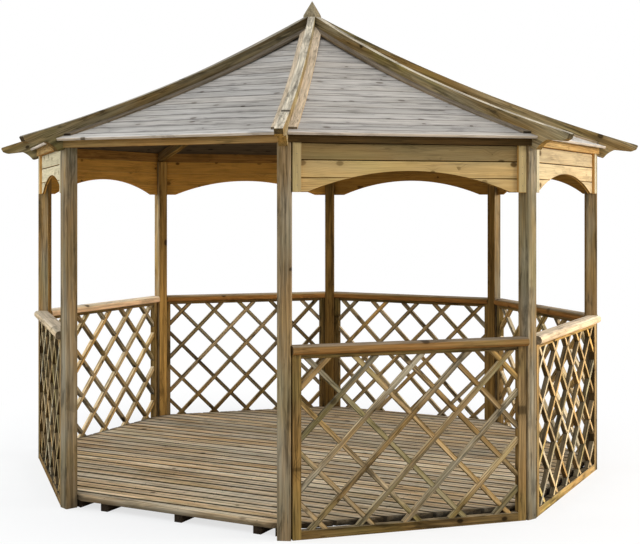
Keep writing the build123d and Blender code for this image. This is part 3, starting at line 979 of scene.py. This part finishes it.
def slat_tree():
    """Geometry Nodes: a sawn bar on every point, of its own size and turn, with grain and tone."""
    ins = (("Geometry", SHAPE), ("Bar Width", NUMBER), ("Bar Thickness", NUMBER), ("Material", MATERIAL))
    tree, given, sink = new_group("Sawn Bars", ins, (("Geometry", SHAPE),), "GeometryNodeTree")
    size = join(tree, 1.0, given["Bar Width"], given["Bar Thickness"])
    bar = put(tree, "GeometryNodeMeshCube", {"Size": size}).outputs["Mesh"]
    bar = put(tree, "GeometryNodeStoreNamedAttribute", {"Geometry": bar, "Name": "spot"},
              data_type="FLOAT_VECTOR", domain="POINT")
    tree.links.new(put(tree, "GeometryNodeInputPosition").outputs[0], bar.inputs["Value"])
    scale = join(tree, named(tree, "length", "FLOAT"), 1.0, 1.0)
    turn = put(tree, "FunctionNodeEulerToRotation", (named(tree, "turn", "FLOAT_VECTOR"),)).outputs[0]
    real = scattered(tree, given, bar.outputs[0], turn, scale)
    stretch = vector_calc(tree, "MULTIPLY", named(tree, "spot", "FLOAT_VECTOR"), scale)[0]
    grain = vector_calc(tree, "ADD", stretch, named(tree, "shift", "FLOAT_VECTOR"))[0]
    real = put(tree, "GeometryNodeStoreNamedAttribute",
               {"Geometry": real, "Name": "grain", "Value": grain},
               data_type="FLOAT_VECTOR", domain="POINT").outputs[0]
    return close_tree(tree, given, sink, real)


def grown(name, points, tree, inputs, attributes, bevel=None):
    """Runs a Geometry Nodes tree on points and returns the plain mesh object it makes."""
    mesh = bpy.data.meshes.new(name + "_points")
    mesh.from_pydata([tuple(p) for p in points], [], [])
    for label, values in attributes.items():
        carry(mesh, label, values)
    seed = shown(name + "_seed", mesh)
    modifier = seed.modifiers.new("grow", "NODES")
    modifier.node_group = tree
    for item in tree.interface.items_tree:
        if item.in_out == "INPUT" and item.name in inputs:
            modifier[item.identifier] = inputs[item.name]
    if bevel:
        ease = seed.modifiers.new("ease", "BEVEL")
        ease.width = bevel
        ease.segments = 1
        ease.limit_method = "ANGLE"
    bpy.context.view_layer.update()
    done = bpy.data.meshes.new_from_object(seed.evaluated_get(bpy.context.evaluated_depsgraph_get()))
    done.name = name
    bpy.data.objects.remove(seed)
    bpy.data.meshes.remove(mesh)
    return shown(name, done)


def slat_runs(half, foot, head, lean):
    """Middle and length of every slat that leans one way across the opening."""
    middle = (foot + head) / 2
    high = (head - foot) / 2 + SLAT_HOUSE
    wide = half + SLAT_HOUSE
    first = foot + SLAT_START
    runs = []
    for m in range(-MOST_SLATS, MOST_SLATS + 1):
        offset = first + SLAT_CELL * m
        if not foot - half + SLAT_W < offset < half + head - SLAT_W:
            continue
        shift = (offset - middle) / 2
        # The slat runs (x, z) = (-lean * shift + t, shift + lean * t) about the opening's middle.
        low = max(-wide + lean * shift, min(lean * (-high - shift), lean * (high - shift)))
        top = min(wide + lean * shift, max(lean * (-high - shift), lean * (high - shift)))
        t = (low + top) / 2
        runs.append((-lean * shift + t, middle + shift + lean * t, (top - low) * math.sqrt(2)))
    return runs


LATTICE_TONE_AND_LIGHT = {FRONT_BAY: -0.9, RIGHT_BAY: 2.4, 5: -1.2, 6: -0.5, 7: 1.0}  # how much paler, in tones: each bay's own tone, with painted light on the right bay's slats
FRAME_SHARE = 0.3  # how far the frame follows its slats' tone
STILE_TONE = -1.5
RAIL_TONE = -2.4
RIGHT_RAIL_TONE = -0.4
FRAME_WORN = 0.3


def lattice_panels():
    """Slats both ways in every panel, and the frame round them, its stiles cut to the posts behind."""
    tree = slat_tree()
    middle = (PANEL_IN + PANEL_OUT) / 2
    inner = PANEL_EDGE - FRAME_W
    back_edge = post_side(PANEL_IN)
    meet = (PANEL_EDGE + POST_W / 2 / COS) / TAN
    staples = []
    for number, az in enumerate(BAYS[1:], 1):
        axes = bay_axes(az)
        spots = []
        own = {label: [] for label in ("worn", "run", "length", "turn", "shift", "tone")}
        lift = LATTICE_TONE_AND_LIGHT.get(number, 0.0)
        for lean in (-1, 1):
            layer = middle + lean * SLAT_PROUD
            for x, z, length in slat_runs(inner, FRAME_W, PANEL_H - FRAME_W, lean):
                spots.append(axes @ Vector((x, z, layer)))
                own["length"].append(length)
                turned = axes.to_3x3() @ Matrix.Rotation(lean * math.pi / 4, 3, "Z")
                own["turn"].append(turned.to_euler())
                own["shift"].append(grain_place())
                # the inner layer is painted paler against the shade it lies in
                own["tone"].append(draw.uniform(-1, 1) + lift - 0.5 * lean)
                own["worn"].append(draw.uniform(0.7, 1.4) if lean > 0 else draw.uniform(0.3, 1.0))
                own["run"].append(turned.col[0].copy())
        wide = SLAT_FACE_SIDE if number in SIDE_BAYS else SLAT_FACE
        inputs = {"Bar Width": wide, "Bar Thickness": SLAT_DEEP, "Material": lattice_wood}
        slats = grown(f"lattice_slats_{number}", spots, tree, inputs, own, bevel=0.001)
        finish_piece(slats, "trellis", lattice_wood)
        stock = new_stock()
        upright = axes @ FROM_PLAN
        for side in (-1, 1):
            plan = [(PANEL_IN, side * inner), (PANEL_OUT, side * inner), (PANEL_OUT, side * PANEL_EDGE),
                    (meet, side * PANEL_EDGE), (PANEL_IN, side * back_edge)]
            outline = plan if side > 0 else plan[::-1]
            mood = lift * FRAME_SHARE + STILE_TONE
            prism(stock, upright, outline, 0.0, PANEL_H, order=(2, 0, 1), tone=mood, worn=FRAME_WORN)
        mood = lift * FRAME_SHARE + (RIGHT_RAIL_TONE if number == RIGHT_BAY else RAIL_TONE)
        for z0 in (0.0, PANEL_H - FRAME_W):
            bar = [(-inner, z0), (inner, z0), (inner, z0 + FRAME_W), (-inner, z0 + FRAME_W)]
            prism(stock, axes, bar, PANEL_IN, PANEL_OUT, tone=mood, worn=FRAME_WORN)
        stock_piece(f"lattice_frame_{number}", stock, "trellis", lattice_wood, f"trellis_panel_{number}")
        half_cell = SLAT_CELL / 2
        for i in range(-MOST_CELLS, MOST_CELLS + 1):
            for j in range(MOST_CELLS):
                x, z = half_cell * i, FRAME_W + SLAT_START + half_cell * j
                if (i + j) % 2 == 0 and abs(x) < inner and z < PANEL_H - FRAME_W:
                    staples.append((axes @ Vector((x, z, middle + SLAT_T)), axes.to_3x3() @ OUTWARD))
    return staples


# ---------------------------------------------------------------- deck
def deck_half(y):
    """Half length of the deck at y: the octagon with its corners cut to the posts."""
    corner = POST_R - POST_W / 2
    reach = []
    for k in range(1, SIDES):
        b = TURN / 2 * k
        flat = corner if k % 2 else DECK_EDGE
        reach.append((flat + y * math.cos(b)) / math.sin(b))
    return min(reach)


def deck_section(width, nose):
    """Section of a deck board: (across, down, dirt) from its front edge, over the top.

    Its grooves are twice as wide as they are deep. The board at the doorway has a rounded nose."""
    ease = DECK_EASE
    clean = ease + 0.008
    if nose:
        front = [(0.0, DECK_T, 0.85), (0.0, 0.013, 0.8)]
        front += [(0.003, 0.004, 0.5), (0.010, 0.0, 0.15), (0.02, 0.0, 0)]
    else:
        front = [(0.0, DECK_T, 1), (0.0, ease, 1), (ease, 0.0, 0.75), (clean, 0.0, 0)]
    groove = []
    for share, deep, dirt in DECK_GROOVES:
        c = width * share
        dirt *= draw.uniform(0.75, 1.0)
        lip = deep + 0.001
        foot = deep * 0.9
        groove += [(c - lip, 0.0, 0), (c - deep, 0.001, dirt), (c - foot, deep, dirt)]
        groove += [(c + foot, deep, dirt), (c + deep, 0.001, dirt), (c + lip, 0.0, 0)]
    back = [(width - clean, 0.0, 0), (width - ease, 0.0, 0.75), (width, ease, 1), (width, DECK_T, 1)]
    return front + groove + back


def deck():
    """The boards across the joists, their ends cut to the octagon, with two screws over every joist."""
    stock = new_stock()
    heads = []
    width = DECK_PITCH - DECK_GAP
    step = (joist_high[0] - joist_low[0] - JOIST_W) / (JOIST_ROWS - 1)
    rows = [joist_low[0] + JOIST_W / 2 + step * k for k in range(JOIST_ROWS)]
    y = -DECK_EDGE
    while y < DECK_EDGE - DECK_LEAST:
        wide = min(width, DECK_EDGE - y)

        def half(across, down):
            return deck_half(y + across)

        def place(x, across, down):
            return Vector((x, y + across, DECK_TOP - down))

        section = deck_section(wide, y == -DECK_EDGE)
        milled_board(stock, section, half, place, Vector((1, 0, 0)), ends_dirt_and_shade=DECK_END_DIRT_AND_SHADE)
        for x in rows:
            if abs(x) < deck_half(y + wide / 2) - SCREW_IN:
                for part in SCREW_SHARES:
                    heads.append((Vector((x, y + wide * part, DECK_TOP)), Vector((0, 0, 1))))
        y += DECK_PITCH
    stock_piece("deck_boards_cut", stock, "deck", deck_wood, "deck_boards")
    return heads


# ---------------------------------------------------------------- fixings
def fixing_tree():
    """Geometry Nodes: a low round head on every point, standing on its facing direction."""
    ins = (("Geometry", SHAPE), ("Head Radius", NUMBER), ("Head Height", NUMBER), ("Material", MATERIAL))
    tree, given, sink = new_group("Fixing Heads", ins, (("Geometry", SHAPE),), "GeometryNodeTree")
    wide = given["Head Radius"]
    inputs = {"Vertices": 10, "Radius Top": times(tree, wide, 0.7), "Radius Bottom": wide}
    inputs["Depth"] = given["Head Height"]
    head = put(tree, "GeometryNodeMeshCone", inputs, fill_type="NGON").outputs["Mesh"]
    facing = named(tree, "facing", "FLOAT_VECTOR")
    turn = put(tree, "FunctionNodeAlignRotationToVector", {"Vector": facing}, axis="Z")
    return close_tree(tree, given, sink, scattered(tree, given, head, turn.outputs[0]))


def fixings(name, slot, tree, heads, size):
    """One piece of all the heads of a kind, from their places and the ways that they face."""
    radius, height = size
    points = [p - n * height * HEAD_SUNK for p, n in heads]
    inputs = {"Head Radius": radius, "Head Height": height, "Material": nail_steel}
    made = grown(name, points, tree, inputs, {"facing": [n for p, n in heads]})
    finish_piece(made, slot, nail_steel)


# ---------------------------------------------------------------- stage
def stage():
    """An overcast sky, a pale floor that fades to white with painted shade on the ground under the deck,
    three soft lamps and the camera.
    """
    scene = bpy.context.scene
    scene.view_settings.view_transform = "Standard"
    sky = bpy.data.worlds.new("overcast")
    scene.world = sky
    tree = emptied(sky)
    path = put(tree, "ShaderNodeLightPath").outputs
    seen = calc(tree, "MAXIMUM", path["Is Glossy Ray"], path["Is Transmission Ray"])
    seen = calc(tree, "MAXIMUM", path["Is Camera Ray"], seen)
    height = split(tree, put(tree, "ShaderNodeTexCoord").outputs["Generated"])[2]
    power = span(tree, height, -0.05, 0.9, 0.42, 0.90)
    room = put(tree, "ShaderNodeBackground", ((0.97, 0.985, 1.0, 1.0), power)).outputs[0]
    blank = put(tree, "ShaderNodeBackground", ((1.0, 1.0, 1.0, 1.0), 1.0)).outputs[0]
    both = put(tree, "ShaderNodeMixShader", (seen, room, blank)).outputs[0]
    put(tree, "ShaderNodeOutputWorld", (both,))

    floor_mesh = bpy.data.meshes.new("floor")
    reach = 60.0
    corners = [(-reach, -reach, 0), (reach, -reach, 0), (reach, reach, 0), (-reach, reach, 0)]
    floor_mesh.from_pydata(corners, [], [(0, 1, 2, 3)])
    floor = shown("floor", floor_mesh)
    pale = bpy.data.materials.new("pale_floor")
    tree = emptied(pale)
    path = put(tree, "ShaderNodeLightPath").outputs
    place = own_place(tree)
    away = vector_calc(tree, "LENGTH", place)["Value"]
    seen = path["Is Camera Ray"]
    tint = blend(tree, seen, (0.76, 0.71, 0.62, 1.0), (0.88, 0.88, 0.88, 1.0))
    # painted shade: the ground under the deck is painted dark for every ray
    behind = span(tree, split(tree, place)[1], -1.27, -1.24)
    outward = split(tree, use(tree, around, Half_Turn=0.0)["Axes"])[1]
    under = span(tree, outward, DECK_EDGE - 0.03, DECK_EDGE + 0.01, 1.0, 0.0)
    under_deck_painted_shade = times(tree, under, behind)
    tint = blend(tree, under_deck_painted_shade, tint, (0.10, 0.09, 0.08, 1.0))
    bare = calc(tree, "SUBTRACT", 1.0, under_deck_painted_shade)
    share = times(tree, seen, times(tree, bare, span(tree, away, 1.9, 3.4, 0.70, 1.0)))
    matt = put(tree, "ShaderNodeBsdfDiffuse", (tint,)).outputs[0]
    glow = put(tree, "ShaderNodeEmission", ((1.0, 1.0, 1.0, 1.0), 1.0)).outputs[0]
    both = put(tree, "ShaderNodeMixShader", (share, matt, glow)).outputs[0]
    put(tree, "ShaderNodeOutputMaterial", (both,))
    floor_mesh.materials.append(pale)

    def lamp(name, azimuth, height, distance, size, power, colour):
        """A soft rectangular light, its azimuth in degrees from the doorway to the right."""
        data = bpy.data.lights.new(name, "AREA")
        data.shape = "RECTANGLE"
        data.size, data.size_y = size
        data.energy = power
        data.color = colour
        made = shown(name, data)
        b = math.radians(azimuth)
        made.location = (distance * math.sin(b), -distance * math.cos(b), height)
        aim = Vector((0, 0, 1.3)) - made.location
        made.rotation_euler = aim.to_track_quat("-Z", "Y").to_euler()

    lamp("right_window", 102, 3.3, 9.0, (5.0, 2.0), 680, (1.0, 0.95, 0.88))
    lamp("left_window", -62, 4.2, 9.0, (6.0, 4.0), 440, (0.84, 0.93, 1.0))
    lamp("front_fill", 10, 6.5, 11.0, (8.0, 4.0), 200, (1.0, 0.99, 0.97))

    camera = bpy.data.cameras.new("camera")
    camera.sensor_width = 36.0
    camera.lens = 68.0
    camera.shift_x = 0.0367
    camera.shift_y = -0.1125
    camera.clip_end = 200
    eye = shown("camera", camera)
    azimuth = math.radians(27.0)
    distance = 7.87
    turned = 0.0130
    eye.location = (distance * math.sin(azimuth), -distance * math.cos(azimuth), 1.71)
    eye.rotation_euler = Euler((math.radians(90), 0, azimuth + turned), "XYZ")
    scene.camera = eye


# ---------------------------------------------------------------- the whole
roof_faces()
header_heads = headers()
staple_spots = lattice_panels()
screw_spots = deck()
heads_tree = fixing_tree()
fixings("header_nails", "headers", heads_tree, header_heads, NAIL)
fixings("lattice_nails", "trellis", heads_tree, staple_spots, STAPLE)
fixings("deck_screws", "deck", heads_tree, screw_spots, SCREW)
for k in range(1, SIDES + 1):
    dress(f"post_{k}", post_wood)
    dress(f"hip_rafter_{k}", rafter_wood)
dress("handrails", rail_wood)
dress("eave_plates", plate_wood)
dress("hip_fillets", fillet_wood)
dress("king_block", block_wood)
dress("finial", block_wood)
dress("deck_joists", joist_wood)
stage()
